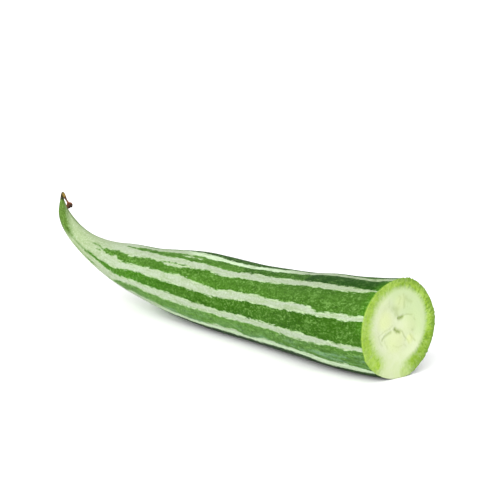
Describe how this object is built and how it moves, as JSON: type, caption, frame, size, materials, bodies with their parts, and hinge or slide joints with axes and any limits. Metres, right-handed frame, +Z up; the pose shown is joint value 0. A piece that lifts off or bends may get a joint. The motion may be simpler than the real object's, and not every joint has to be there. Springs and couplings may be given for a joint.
{
  "type": "snake gourd",
  "caption": "Striped snake gourd cut across at its thick end, lying on its side, with its thin tail curled up to a withered flower.",
  "frame": {"origin": "middle of the bounding box on the surface that the gourd lies on", "axes": "+X along the gourd from its curled tail towards the cut face, +Z up"},
  "size_m": [0.3202, 0.0596, 0.0647],
  "materials": {
    "gourd_skin": "waxy fresh green skin with pale stripes, semi-gloss",
    "dry_flower": "dried brown plant tissue, matt"
  },
  "bodies": {
    "root": {"gourd": "gourd_skin", "withered_flower": "dry_flower"}
  },
  "joints": []
}
